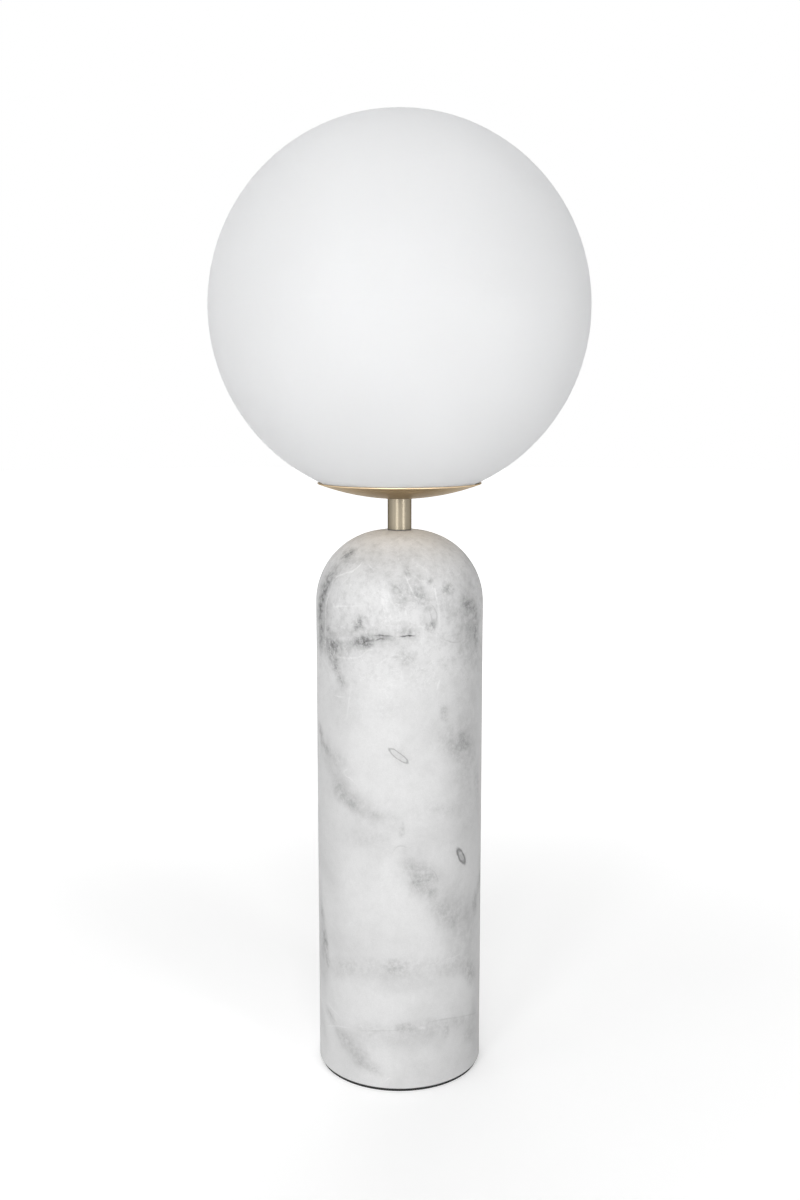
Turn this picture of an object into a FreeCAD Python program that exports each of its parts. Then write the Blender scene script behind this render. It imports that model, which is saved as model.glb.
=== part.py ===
"""Table lamp: an opal glass globe in a shallow brass dish on a domed marble column.

Millimetres, +Z up, origin at the centre of the foot, front towards -Y, cable inlet towards +Y.
"""
import FreeCAD
import Part
import math
import os

# Foot pad and marble column
FOOT_PAD_THICKNESS = 1.5
FOOT_PAD_INSET = 1.2
COLUMN_RADIUS = 45.3
COLUMN_HEIGHT = 298.5
COLUMN_FOOT_CHAMFER = 0.8
RECESS_RADIUS = 30.0
RECESS_DEPTH = 26.5

# Rear cable inlet
INLET_HEIGHT = 12.0
INLET_BORE_RADIUS = 3.25
INLET_BUSH_WALL = 1.25
INLET_BUSH_FLANGE_RADIUS = 6.5
INLET_BUSH_FLANGE = 1.5
INLET_BUSH_PROUD = 1.0
INLET_BUSH_LEAD_IN = 0.5
INLET_HOLE_CLEARANCE = 0.1
SPOT_FACE_CLEARANCE = 0.5

# Threaded tube and what it clamps
TUBE_RADIUS = 5.0
TUBE_BORE_RADIUS = 4.0
TUBE_TAIL = 4.0
TUBE_CLEARANCE = 0.1
COLUMN_BORE_CLEARANCE = 0.5
NUT_ACROSS_FLATS = 14.0
NUT_HEIGHT = 4.0
NUT_CORNER_CHAMFER = 0.6
BASE_WASHER_RADIUS = 20.0
BASE_WASHER_THICKNESS = 2.0
LOCK_WASHER_RADIUS = 7.6
LOCK_WASHER_THICKNESS = 0.8
LOCK_WASHER_TEETH = 12
LOCK_WASHER_TOOTH = 1.0

# Neck
NECK_RADIUS = 6.45
NECK_LENGTH = 16.5
NECK_GASKET_THICKNESS = 0.5

# Dish
DISH_RIM_RADIUS = 44.0
DISH_CURVE_RADIUS = 123.3
DISH_FLOOR_RADIUS = 8.0
DISH_WALL = 0.8

# Globe and its seat
GLOBE_RADIUS = 100.0
GLOBE_WALL = 3.0
MOUTH_RIM_RADIUS = 40.8
MOUTH_BORE_RADIUS = 36.0
GLOBE_DISH_GAP = 0.3
SEAT_RING_WIDTH = 4.0
SEAT_RING_INSET = 0.6
SEAT_RING_GAP = 0.15

# Clip plate, rivets and the three spring clips that steady the globe
CLIP_COUNT = 3
FIRST_CLIP_ANGLE = 90.0
CLIP_PLATE_RADIUS = 23.0
CLIP_PLATE_THICKNESS = 1.0
CLIP_PLATE_NOTCH_RADIUS = 7.0
CLIP_WIDTH = 10.0
CLIP_THICKNESS = 0.6
CLIP_MOUTH_GAP = 0.3
CLIP_TRAVEL = 2.0
CLIP_FOOT_LENGTH = 9.0
CLIP_BEND_RADIUS = 1.5
CLIP_HEIGHT = 17.0
CLIP_RIVET_CIRCLE = 18.0
RIVET_SHANK_RADIUS = 1.5
RIVET_HEAD_RADIUS = 2.8
RIVET_HEAD_HEIGHT = 0.9
RIVET_CLEARANCE = 0.1

# Small screw lampholder
HOLDER_RADIUS = 14.2
HOLDER_WALL = 1.8
HOLDER_BASE_RADIUS = 9.5
HOLDER_BASE_HEIGHT = 2.5
HOLDER_CAP_HEIGHT = 8.0
HOLDER_CAP_NECK = 6.0
HOLDER_CAP_GRIP = 7.0
HOLDER_SKIRT_HEIGHT = 42.4
HOLDER_LIP = 2.0
HOLDER_MOUTH_RADIUS = 10.5
HOLDER_RIBS = 24
HOLDER_RIB_RADIUS = 0.5
HOLDER_RIB_LENGTH = 12.0
HOLDER_FIT = 0.1
CORE_HEIGHT = 10.0
SHELL_HEIGHT = 21.4
SHELL_WALL = 0.45
SHELL_FIT = 0.1
CONTACT_RADIUS = 2.0
CONTACT_THICKNESS = 0.5
CONTACT_STEM_RADIUS = 1.0
CONTACT_STEM_LENGTH = 6.0
CONTACT_STEM_FIT = 0.08
CONTACT_HEIGHT = 1.9
TERMINAL_PITCH = 13.0
TERMINAL_HEAD_RADIUS = 2.2
TERMINAL_HEAD_HEIGHT = 1.6
TERMINAL_SHANK_RADIUS = 1.3
TERMINAL_SHANK_LENGTH = 5.0
TERMINAL_SLOT_WIDTH = 0.7
TERMINAL_SLOT_DEPTH = 0.8
TERMINAL_FIT = 0.05

# Bulb
BULB_LENGTH = 78.0
BULB_RADIUS = 22.5
BULB_SHELL = 1.0
BULB_CAP_RADIUS = 6.9
BULB_CAP_HEIGHT = 19.2
BULB_BUTTON_RADIUS = 2.5
BULB_BUTTON_HEIGHT = 0.8
BULB_INSULATOR_HEIGHT = 2.0
BULB_INSULATOR_TOP_RADIUS = 6.0
BULB_NECK_RADIUS = 8.5
BULB_NECK_HEIGHT = 4.0
BULB_DOME_START = 5.0
LED_BOARD_THICKNESS = 1.6
LED_BOARD_GAP = 1.5

# Heights of the stack, from the foot up
COLUMN_BOTTOM = FOOT_PAD_THICKNESS
COLUMN_TOP = COLUMN_BOTTOM + COLUMN_HEIGHT
RECESS_TOP = COLUMN_BOTTOM + RECESS_DEPTH
BASE_WASHER_BOTTOM = RECESS_TOP - BASE_WASHER_THICKNESS
BASE_LOCK_BOTTOM = BASE_WASHER_BOTTOM - LOCK_WASHER_THICKNESS
BASE_NUT_BOTTOM = BASE_LOCK_BOTTOM - NUT_HEIGHT
TUBE_BOTTOM = BASE_NUT_BOTTOM - TUBE_TAIL
NECK_BOTTOM = COLUMN_TOP + NECK_GASKET_THICKNESS
DISH_BOTTOM = NECK_BOTTOM + NECK_LENGTH
DISH_FLOOR = DISH_BOTTOM + DISH_WALL
DISH_NUT_BOTTOM = DISH_FLOOR + LOCK_WASHER_THICKNESS
CLIP_PLATE_BOTTOM = DISH_NUT_BOTTOM + NUT_HEIGHT
CLIP_PLATE_TOP = CLIP_PLATE_BOTTOM + CLIP_PLATE_THICKNESS
TUBE_TOP = CLIP_PLATE_TOP + HOLDER_CAP_GRIP
HOLDER_STEP = CLIP_PLATE_TOP + HOLDER_CAP_HEIGHT
CORE_BOTTOM = HOLDER_STEP + HOLDER_CAP_NECK
CORE_TOP = CORE_BOTTOM + CORE_HEIGHT
HOLDER_TOP = HOLDER_STEP + HOLDER_SKIRT_HEIGHT
BULB_BOTTOM = CORE_TOP + CONTACT_HEIGHT

# The dish is a slice of a sphere, so its inside and outside share one centre
DISH_CURVE_CENTRE = DISH_BOTTOM + math.sqrt(DISH_CURVE_RADIUS ** 2 - DISH_FLOOR_RADIUS ** 2)
DISH_INNER_CURVE = DISH_CURVE_RADIUS - DISH_WALL

COLUMN_BORE_RADIUS = TUBE_RADIUS + COLUMN_BORE_CLEARANCE
CLAMP_BORE_RADIUS = TUBE_RADIUS + TUBE_CLEARANCE
INLET_BUSH_RADIUS = INLET_BORE_RADIUS + INLET_BUSH_WALL


def dish_inside_height(radius, gap=0.0):
    """Height at a distance from the axis of a surface that lies a gap inside the dish."""
    return DISH_CURVE_CENTRE - math.sqrt((DISH_INNER_CURVE - gap) ** 2 - radius ** 2)


# The ground mouth of the globe lies just above the dish, and sets how high the globe stands
MOUTH_HEIGHT = dish_inside_height(MOUTH_RIM_RADIUS) + GLOBE_DISH_GAP
GLOBE_CENTRE = MOUTH_HEIGHT + math.sqrt(GLOBE_RADIUS ** 2 - MOUTH_RIM_RADIUS ** 2)


def point(radius, height):
    """A point in the XZ plane, where profiles are drawn."""
    return FreeCAD.Vector(radius, 0, height)


def line(start, end):
    """A straight profile edge between two (radius, height) pairs."""
    return Part.LineSegment(point(*start), point(*end)).toShape()


def arc(start, centre, radius, end):
    """The shorter round profile edge from start to end about a centre."""
    chord_middle = (point(*start) + point(*end)) * 0.5
    outward = (chord_middle - point(*centre)).normalize()
    middle = point(*centre) + outward * radius
    return Part.Arc(point(*start), middle, point(*end)).toShape()


def polyline(points):
    """Straight edges through a list of (radius, height) pairs."""
    return [line(start, end) for start, end in zip(points, points[1:])]


def turned(edges):
    """The solid that a closed profile sweeps round the lamp's axis."""
    face = Part.Face(Part.Wire(edges))
    solid = face.revolve(FreeCAD.Vector(), FreeCAD.Vector(0, 0, 1), 360)
    return solid


def turned_polygon(points):
    """The turned solid of a straight-sided profile."""
    return turned(polyline(points + points[:1]))


def ring(inner, outer, bottom, height):
    """A flat ring about the lamp's axis."""
    top = bottom + height
    return turned_polygon([(inner, bottom), (outer, bottom), (outer, top), (inner, top)])


def cylinder(radius, height, base, direction=FreeCAD.Vector(0, 0, 1)):
    """A plain round bar."""
    return Part.makeCylinder(radius, height, base, direction)


def round_the_axis(shape, angle):
    """A copy turned about the lamp's axis."""
    copy = shape.copy()
    copy.rotate(FreeCAD.Vector(), FreeCAD.Vector(0, 0, 1), angle)
    return copy


def foot_pad():
    """Soft disc under the column, which closes the recess."""
    radius = COLUMN_RADIUS - FOOT_PAD_INSET
    return cylinder(radius, FOOT_PAD_THICKNESS, FreeCAD.Vector())


def column_profile():
    """Column wall, domed top and seat for the neck, with the recess and the bore inside."""
    dome_radius = COLUMN_RADIUS - NECK_RADIUS
    dome_start = (COLUMN_RADIUS, COLUMN_TOP - dome_radius)
    dome_end = (NECK_RADIUS, COLUMN_TOP)
    dome_centre = (NECK_RADIUS, COLUMN_TOP - dome_radius)
    wall = polyline([
        (COLUMN_BORE_RADIUS, COLUMN_TOP),
        (COLUMN_BORE_RADIUS, RECESS_TOP),
        (RECESS_RADIUS, RECESS_TOP),
        (RECESS_RADIUS, COLUMN_BOTTOM),
        (COLUMN_RADIUS - COLUMN_FOOT_CHAMFER, COLUMN_BOTTOM),
        (COLUMN_RADIUS, COLUMN_BOTTOM + COLUMN_FOOT_CHAMFER),
        dome_start,
    ])
    dome = arc(dome_start, dome_centre, dome_radius, dome_end)
    seat = line(dome_end, (COLUMN_BORE_RADIUS, COLUMN_TOP))
    return wall + [dome, seat]


def marble_column():
    """The column with its rear cable hole and the spot face round it."""
    back = FreeCAD.Vector(0, 1, 0)
    hole_radius = INLET_BUSH_RADIUS + INLET_HOLE_CLEARANCE
    hole = cylinder(hole_radius, COLUMN_RADIUS, FreeCAD.Vector(0, 0, INLET_HEIGHT), back)
    face_radius = INLET_BUSH_FLANGE_RADIUS + SPOT_FACE_CLEARANCE
    face_floor = FreeCAD.Vector(0, COLUMN_RADIUS - INLET_BUSH_FLANGE, INLET_HEIGHT)
    spot_face = cylinder(face_radius, COLUMN_RADIUS, face_floor, back)
    return turned(column_profile()).cut(hole).cut(spot_face)


def inlet_bush():
    """Flanged bush that lines the cable hole, with a flared mouth."""
    bore = INLET_BORE_RADIUS
    inner_end = RECESS_RADIUS - INLET_BUSH_PROUD
    flange_floor = COLUMN_RADIUS - INLET_BUSH_FLANGE
    bush = turned_polygon([
        (bore, inner_end),
        (INLET_BUSH_RADIUS, inner_end),
        (INLET_BUSH_RADIUS, flange_floor),
        (INLET_BUSH_FLANGE_RADIUS, flange_floor),
        (INLET_BUSH_FLANGE_RADIUS, COLUMN_RADIUS),
        (bore + INLET_BUSH_LEAD_IN, COLUMN_RADIUS),
        (bore, COLUMN_RADIUS - INLET_BUSH_LEAD_IN),
    ])
    bush.rotate(FreeCAD.Vector(), FreeCAD.Vector(1, 0, 0), -90)
    bush.translate(FreeCAD.Vector(0, 0, INLET_HEIGHT))
    return bush


def threaded_tube():
    """Hollow stem that clamps the lamp together and carries the lampholder."""
    return ring(TUBE_BORE_RADIUS, TUBE_RADIUS, TUBE_BOTTOM, TUBE_TOP - TUBE_BOTTOM)


def hexagon_nut(bottom):
    """Nut with its corners turned off at both faces."""
    corner_radius = NUT_ACROSS_FLATS / math.sqrt(3)
    corners = [
        FreeCAD.Vector(corner_radius * math.cos(turn), corner_radius * math.sin(turn), bottom)
        for turn in (math.radians(60 * side) for side in range(7))
    ]
    prism = Part.Face(Part.makePolygon(corners)).extrude(FreeCAD.Vector(0, 0, NUT_HEIGHT))
    top = bottom + NUT_HEIGHT
    face_radius = corner_radius - NUT_CORNER_CHAMFER
    turned_blank = turned_polygon([
        (CLAMP_BORE_RADIUS, bottom),
        (face_radius, bottom),
        (corner_radius, bottom + NUT_CORNER_CHAMFER / 2),
        (corner_radius, top - NUT_CORNER_CHAMFER / 2),
        (face_radius, top),
        (CLAMP_BORE_RADIUS, top),
    ])
    return prism.common(turned_blank)


def toothed_washer(bottom):
    """Lock washer with teeth cut round its edge."""
    washer = ring(CLAMP_BORE_RADIUS, LOCK_WASHER_RADIUS, bottom, LOCK_WASHER_THICKNESS)
    tooth_step = 360 / LOCK_WASHER_TEETH
    gap_radius = LOCK_WASHER_RADIUS * math.sin(math.radians(tooth_step / 4))
    centre = FreeCAD.Vector(LOCK_WASHER_RADIUS - LOCK_WASHER_TOOTH + gap_radius, 0, bottom)
    gap = cylinder(gap_radius, LOCK_WASHER_THICKNESS, centre)
    gaps = [round_the_axis(gap, tooth_step * index) for index in range(LOCK_WASHER_TEETH)]
    return washer.cut(gaps)


def neck_tube():
    """Brass spacer over the stem, the only part of it that shows."""
    return ring(CLAMP_BORE_RADIUS, NECK_RADIUS, NECK_BOTTOM, NECK_LENGTH)


def dish():
    """Spun dish: a flat floor, a shallow curve and a rolled edge."""
    half_wall = DISH_WALL / 2
    edge_centre_radius = DISH_RIM_RADIUS - half_wall
    middle_curve = DISH_CURVE_RADIUS - half_wall
    lean = math.asin(edge_centre_radius / middle_curve)
    centre = (0, DISH_CURVE_CENTRE)
    edge_centre = (edge_centre_radius, DISH_CURVE_CENTRE - middle_curve * math.cos(lean))
    outer_edge = (DISH_CURVE_RADIUS * math.sin(lean), DISH_CURVE_CENTRE - DISH_CURVE_RADIUS * math.cos(lean))
    inner_edge = (DISH_INNER_CURVE * math.sin(lean), DISH_CURVE_CENTRE - DISH_INNER_CURVE * math.cos(lean))
    tip = (edge_centre_radius + half_wall * math.cos(lean), edge_centre[1] + half_wall * math.sin(lean))
    inner_floor_radius = math.sqrt(DISH_INNER_CURVE ** 2 - (DISH_CURVE_CENTRE - DISH_FLOOR) ** 2)
    floor_edge = (inner_floor_radius, DISH_FLOOR)
    outer_floor_edge = (DISH_FLOOR_RADIUS, DISH_BOTTOM)
    return turned([
        line((CLAMP_BORE_RADIUS, DISH_FLOOR), (CLAMP_BORE_RADIUS, DISH_BOTTOM)),
        line((CLAMP_BORE_RADIUS, DISH_BOTTOM), outer_floor_edge),
        arc(outer_floor_edge, centre, DISH_CURVE_RADIUS, outer_edge),
        Part.Arc(point(*outer_edge), point(*tip), point(*inner_edge)).toShape(),
        arc(inner_edge, centre, DISH_INNER_CURVE, floor_edge),
        line(floor_edge, (CLAMP_BORE_RADIUS, DISH_FLOOR)),
    ])


def glass_seat_ring():
    """Soft ring that fills the wedge between the globe's flat mouth and the curved dish."""
    outer = MOUTH_RIM_RADIUS - SEAT_RING_INSET
    inner = outer - SEAT_RING_WIDTH
    outer_low = (outer, dish_inside_height(outer, SEAT_RING_GAP))
    inner_low = (inner, dish_inside_height(inner, SEAT_RING_GAP))
    underside = DISH_INNER_CURVE - SEAT_RING_GAP
    return turned([
        line((inner, MOUTH_HEIGHT), (outer, MOUTH_HEIGHT)),
        line((outer, MOUTH_HEIGHT), outer_low),
        arc(outer_low, (0, DISH_CURVE_CENTRE), underside, inner_low),
        line(inner_low, (inner, MOUTH_HEIGHT)),
    ])


def globe():
    """Opal glass ball with a ground, bored mouth underneath."""
    inner_radius = GLOBE_RADIUS - GLOBE_WALL
    centre = (0, GLOBE_CENTRE)
    rim = (MOUTH_RIM_RADIUS, MOUTH_HEIGHT)
    bore_low = (MOUTH_BORE_RADIUS, MOUTH_HEIGHT)
    bore_top_height = GLOBE_CENTRE - math.sqrt(inner_radius ** 2 - MOUTH_BORE_RADIUS ** 2)
    bore_top = (MOUTH_BORE_RADIUS, bore_top_height)
    outer_top = (0, GLOBE_CENTRE + GLOBE_RADIUS)
    inner_top = (0, GLOBE_CENTRE + inner_radius)
    outer_side = (GLOBE_RADIUS, GLOBE_CENTRE)
    inner_side = (inner_radius, GLOBE_CENTRE)
    return turned([
        arc(rim, centre, GLOBE_RADIUS, outer_side),
        arc(outer_side, centre, GLOBE_RADIUS, outer_top),
        line(outer_top, inner_top),
        arc(inner_top, centre, inner_radius, inner_side),
        arc(inner_side, centre, inner_radius, bore_top),
        line(bore_top, bore_low),
        line(bore_low, rim),
    ])


def rivet_places():
    """Centres of the three rivets, with the angle of each clip."""
    for index in range(CLIP_COUNT):
        angle = FIRST_CLIP_ANGLE + 360 * index / CLIP_COUNT
        turn = math.radians(angle)
        centre = FreeCAD.Vector(math.cos(turn), math.sin(turn), 0) * CLIP_RIVET_CIRCLE
        yield angle, centre


def clip_plate():
    """Round steel plate with a rivet hole under each clip and a notch between them."""
    plate = ring(CLAMP_BORE_RADIUS, CLIP_PLATE_RADIUS, CLIP_PLATE_BOTTOM, CLIP_PLATE_THICKNESS)
    cuts = []
    for angle, centre in rivet_places():
        base = centre + FreeCAD.Vector(0, 0, CLIP_PLATE_BOTTOM)
        cuts.append(cylinder(RIVET_SHANK_RADIUS + RIVET_CLEARANCE, CLIP_PLATE_THICKNESS, base))
        edge = FreeCAD.Vector(CLIP_PLATE_RADIUS, 0, CLIP_PLATE_BOTTOM)
        notch = cylinder(CLIP_PLATE_NOTCH_RADIUS, CLIP_PLATE_THICKNESS, edge)
        cuts.append(round_the_axis(notch, angle + 180 / CLIP_COUNT))
    return plate.cut(cuts)


def clip_rivets():
    """Three rivets, each with a head above the clip's foot and one under the plate."""
    rivets = []
    top = CLIP_PLATE_TOP + CLIP_THICKNESS
    for angle, centre in rivet_places():
        low = centre + FreeCAD.Vector(0, 0, CLIP_PLATE_BOTTOM - RIVET_HEAD_HEIGHT)
        shank_length = top + RIVET_HEAD_HEIGHT - low.z
        upper = centre + FreeCAD.Vector(0, 0, top)
        rivet = cylinder(RIVET_SHANK_RADIUS, shank_length, low)
        rivet = rivet.fuse(cylinder(RIVET_HEAD_RADIUS, RIVET_HEAD_HEIGHT, low))
        rivet = rivet.fuse(cylinder(RIVET_HEAD_RADIUS, RIVET_HEAD_HEIGHT, upper))
        rivets.append(rivet.removeSplitter())
    return Part.makeCompound([rivet.Solids[0] for rivet in rivets])


def rounded_path(points, radius):
    """A wire through the points with each inner corner rounded."""
    edges = []
    start = points[0]
    for before, corner, after in zip(points, points[1:], points[2:]):
        inward = (before - corner).normalize()
        onward = (after - corner).normalize()
        half_angle = inward.getAngle(onward) / 2
        reach = radius / math.tan(half_angle)
        bisector = (inward + onward).normalize()
        arc_start = corner + inward * reach
        arc_end = corner + onward * reach
        arc_middle = corner + bisector * (radius / math.sin(half_angle) - radius)
        edges.append(Part.LineSegment(start, arc_start).toShape())
        edges.append(Part.Arc(arc_start, arc_middle, arc_end).toShape())
        start = arc_end
    edges.append(Part.LineSegment(start, points[-1]).toShape())
    return Part.Wire(edges)


def spring_clip():
    """One strip clip: a slotted foot, an upright that bears on the mouth, and a lead-in tip."""
    half_width = CLIP_WIDTH / 2
    half_thickness = CLIP_THICKNESS / 2
    corner_radius = MOUTH_BORE_RADIUS - CLIP_MOUTH_GAP
    face_radius = math.sqrt(corner_radius ** 2 - half_width ** 2) - half_thickness
    middle_height = CLIP_PLATE_TOP + half_thickness
    foot_start = CLIP_RIVET_CIRCLE - RIVET_HEAD_RADIUS
    foot_end = foot_start + CLIP_FOOT_LENGTH
    upright_top = MOUTH_HEIGHT + GLOBE_WALL
    tip_radius = (foot_end + face_radius) / 2
    path = rounded_path([
        point(foot_start, middle_height),
        point(face_radius, middle_height),
        point(face_radius, upright_top),
        point(tip_radius, CLIP_PLATE_TOP + CLIP_HEIGHT),
    ], CLIP_BEND_RADIUS)
    section = Part.makePolygon([
        FreeCAD.Vector(foot_start, -half_width, middle_height - half_thickness),
        FreeCAD.Vector(foot_start, half_width, middle_height - half_thickness),
        FreeCAD.Vector(foot_start, half_width, middle_height + half_thickness),
        FreeCAD.Vector(foot_start, -half_width, middle_height + half_thickness),
        FreeCAD.Vector(foot_start, -half_width, middle_height - half_thickness),
    ])
    strip = path.makePipeShell([section], True, False)
    slot_radius = RIVET_SHANK_RADIUS + RIVET_CLEARANCE
    slot_start = FreeCAD.Vector(CLIP_RIVET_CIRCLE, 0, CLIP_PLATE_TOP)
    slot_end = FreeCAD.Vector(CLIP_RIVET_CIRCLE + CLIP_TRAVEL, 0, CLIP_PLATE_TOP)
    slot_middle = Part.makeBox(
        CLIP_TRAVEL, 2 * slot_radius, CLIP_THICKNESS, slot_start - FreeCAD.Vector(0, slot_radius, 0))
    ends = [cylinder(slot_radius, CLIP_THICKNESS, base) for base in (slot_start, slot_end)]
    return strip.cut([slot_middle] + ends)


def holder_cap():
    """Lower half of the lampholder, screwed on the stem, with room for the wires."""
    inner = HOLDER_RADIUS - 2 * HOLDER_WALL
    neck_outer = HOLDER_RADIUS - HOLDER_WALL - HOLDER_FIT
    bottom = CLIP_PLATE_TOP
    room_floor = bottom + HOLDER_CAP_GRIP
    return turned_polygon([
        (CLAMP_BORE_RADIUS, bottom),
        (HOLDER_BASE_RADIUS, bottom),
        (HOLDER_BASE_RADIUS, bottom + HOLDER_BASE_HEIGHT),
        (HOLDER_RADIUS, HOLDER_STEP - HOLDER_BASE_HEIGHT),
        (HOLDER_RADIUS, HOLDER_STEP),
        (neck_outer, HOLDER_STEP),
        (neck_outer, CORE_BOTTOM),
        (inner, CORE_BOTTOM),
        (inner, room_floor + HOLDER_WALL),
        (inner - HOLDER_WALL, room_floor),
        (CLAMP_BORE_RADIUS, room_floor),
    ])


def terminal_places():
    """The two terminal screws stand left and right of the axis."""
    return [FreeCAD.Vector(side * TERMINAL_PITCH / 2, 0, 0) for side in (-1, 1)]


def holder_core():
    """Insulating block that carries the shell, the centre contact and the terminals."""
    radius = HOLDER_RADIUS - HOLDER_WALL - HOLDER_FIT
    stem_hole = CONTACT_STEM_RADIUS + CONTACT_STEM_FIT
    core = ring(stem_hole, radius, CORE_BOTTOM, CORE_HEIGHT)
    screw_hole_radius = TERMINAL_SHANK_RADIUS + TERMINAL_FIT
    holes = []
    for place in terminal_places():
        base = place + FreeCAD.Vector(0, 0, CORE_BOTTOM)
        holes.append(cylinder(screw_hole_radius, TERMINAL_SHANK_LENGTH, base))
    return core.cut(holes)


def terminal_screws():
    """Two slotted screws under the core, reached through the wiring room."""
    screws = []
    for place in terminal_places():
        head_base = place + FreeCAD.Vector(0, 0, CORE_BOTTOM - TERMINAL_HEAD_HEIGHT)
        head = cylinder(TERMINAL_HEAD_RADIUS, TERMINAL_HEAD_HEIGHT, head_base)
        shank = cylinder(
            TERMINAL_SHANK_RADIUS, TERMINAL_HEAD_HEIGHT + TERMINAL_SHANK_LENGTH, head_base)
        slot = Part.makeBox(
            2 * TERMINAL_HEAD_RADIUS, TERMINAL_SLOT_WIDTH, TERMINAL_SLOT_DEPTH,
            head_base - FreeCAD.Vector(TERMINAL_HEAD_RADIUS, TERMINAL_SLOT_WIDTH / 2, 0))
        screws.append(head.fuse(shank).cut(slot).removeSplitter())
    return Part.makeCompound([screw.Solids[0] for screw in screws])


def holder_skirt():
    """Outer sleeve of the lampholder, with grip ribs low down and a lip at its mouth."""
    inner = HOLDER_RADIUS - HOLDER_WALL
    lip_bottom = HOLDER_TOP - HOLDER_LIP
    skirt = turned_polygon([
        (inner, HOLDER_STEP),
        (HOLDER_RADIUS, HOLDER_STEP),
        (HOLDER_RADIUS, lip_bottom),
        (HOLDER_RADIUS - HOLDER_LIP / 2, HOLDER_TOP),
        (HOLDER_MOUTH_RADIUS, HOLDER_TOP),
        (HOLDER_MOUTH_RADIUS, lip_bottom),
        (inner, lip_bottom),
    ])
    rib_base = FreeCAD.Vector(HOLDER_RADIUS, 0, HOLDER_STEP + HOLDER_LIP)
    rib = cylinder(HOLDER_RIB_RADIUS, HOLDER_RIB_LENGTH, rib_base)
    ribs = [round_the_axis(rib, 360 * index / HOLDER_RIBS) for index in range(HOLDER_RIBS)]
    return skirt.fuse(ribs)


def screw_shell():
    """Thin metal shell that the bulb's cap turns in, which is also the outer contact."""
    inner = BULB_CAP_RADIUS + SHELL_FIT
    return ring(inner, inner + SHELL_WALL, CORE_TOP, SHELL_HEIGHT)


def centre_contact():
    """Sprung centre contact: a disc on a stem that dips into the core."""
    disc_bottom = BULB_BOTTOM - CONTACT_THICKNESS
    return turned_polygon([
        (0, BULB_BOTTOM),
        (CONTACT_RADIUS, BULB_BOTTOM),
        (CONTACT_RADIUS, disc_bottom),
        (CONTACT_STEM_RADIUS, disc_bottom),
        (CONTACT_STEM_RADIUS, disc_bottom - CONTACT_STEM_LENGTH),
        (0, disc_bottom - CONTACT_STEM_LENGTH),
    ])


BULB_INSULATOR_BOTTOM = BULB_BOTTOM + BULB_BUTTON_HEIGHT
BULB_CAP_BOTTOM = BULB_INSULATOR_BOTTOM + BULB_INSULATOR_HEIGHT
BULB_BODY_BOTTOM = BULB_CAP_BOTTOM + BULB_CAP_HEIGHT
BULB_CENTRE = BULB_BOTTOM + BULB_LENGTH - BULB_RADIUS
BULB_BODY_TOP = BULB_CENTRE - BULB_DOME_START
BULB_BODY_RADIUS = math.sqrt(BULB_RADIUS ** 2 - BULB_DOME_START ** 2)


def bulb_contact():
    """Button at the bottom of the bulb's cap."""
    return cylinder(BULB_BUTTON_RADIUS, BULB_BUTTON_HEIGHT, FreeCAD.Vector(0, 0, BULB_BOTTOM))


def bulb_insulator():
    """Dark cone between the button and the cap."""
    return turned_polygon([
        (0, BULB_INSULATOR_BOTTOM),
        (BULB_BUTTON_RADIUS, BULB_INSULATOR_BOTTOM),
        (BULB_INSULATOR_TOP_RADIUS, BULB_CAP_BOTTOM),
        (0, BULB_CAP_BOTTOM),
    ])


def bulb_cap():
    """Metal cap of the bulb, plain where its rolled thread would be."""
    return cylinder(BULB_CAP_RADIUS, BULB_CAP_HEIGHT, FreeCAD.Vector(0, 0, BULB_CAP_BOTTOM))


def bulb_body():
    """White housing that flares from the cap to the dome."""
    neck_top = BULB_BODY_BOTTOM + BULB_NECK_HEIGHT
    flare_height = BULB_BODY_TOP - neck_top
    flare_width = BULB_BODY_RADIUS - BULB_NECK_RADIUS
    flare_start = (BULB_NECK_RADIUS, neck_top)
    flare_end = (BULB_BODY_RADIUS, BULB_BODY_TOP)
    flare_radius = (flare_width ** 2 + flare_height ** 2) / (2 * flare_width)
    flare_centre = (BULB_BODY_RADIUS - flare_radius, BULB_BODY_TOP)
    edges = polyline([
        (0, BULB_BODY_TOP),
        (0, BULB_BODY_BOTTOM),
        (BULB_NECK_RADIUS, BULB_BODY_BOTTOM),
        flare_start,
    ])
    edges.append(arc(flare_start, flare_centre, flare_radius, flare_end))
    edges.append(line(flare_end, (0, BULB_BODY_TOP)))
    return turned(edges)


def led_board():
    """Round light board on top of the housing, inside the dome."""
    radius = BULB_BODY_RADIUS - BULB_SHELL - LED_BOARD_GAP
    return cylinder(radius, LED_BOARD_THICKNESS, FreeCAD.Vector(0, 0, BULB_BODY_TOP))


def bulb_dome():
    """Thin milky dome over the light board."""
    inner_radius = BULB_RADIUS - BULB_SHELL
    inner_edge = math.sqrt(inner_radius ** 2 - BULB_DOME_START ** 2)
    centre = (0, BULB_CENTRE)
    top = (0, BULB_CENTRE + BULB_RADIUS)
    inner_top = (0, BULB_CENTRE + inner_radius)
    side = (BULB_RADIUS, BULB_CENTRE)
    inner_side = (inner_radius, BULB_CENTRE)
    foot = (BULB_BODY_RADIUS, BULB_BODY_TOP)
    inner_foot = (inner_edge, BULB_BODY_TOP)
    return turned([
        arc(foot, centre, BULB_RADIUS, side),
        arc(side, centre, BULB_RADIUS, top),
        line(top, inner_top),
        arc(inner_top, centre, inner_radius, inner_side),
        arc(inner_side, centre, inner_radius, inner_foot),
        line(inner_foot, foot),
    ])


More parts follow.
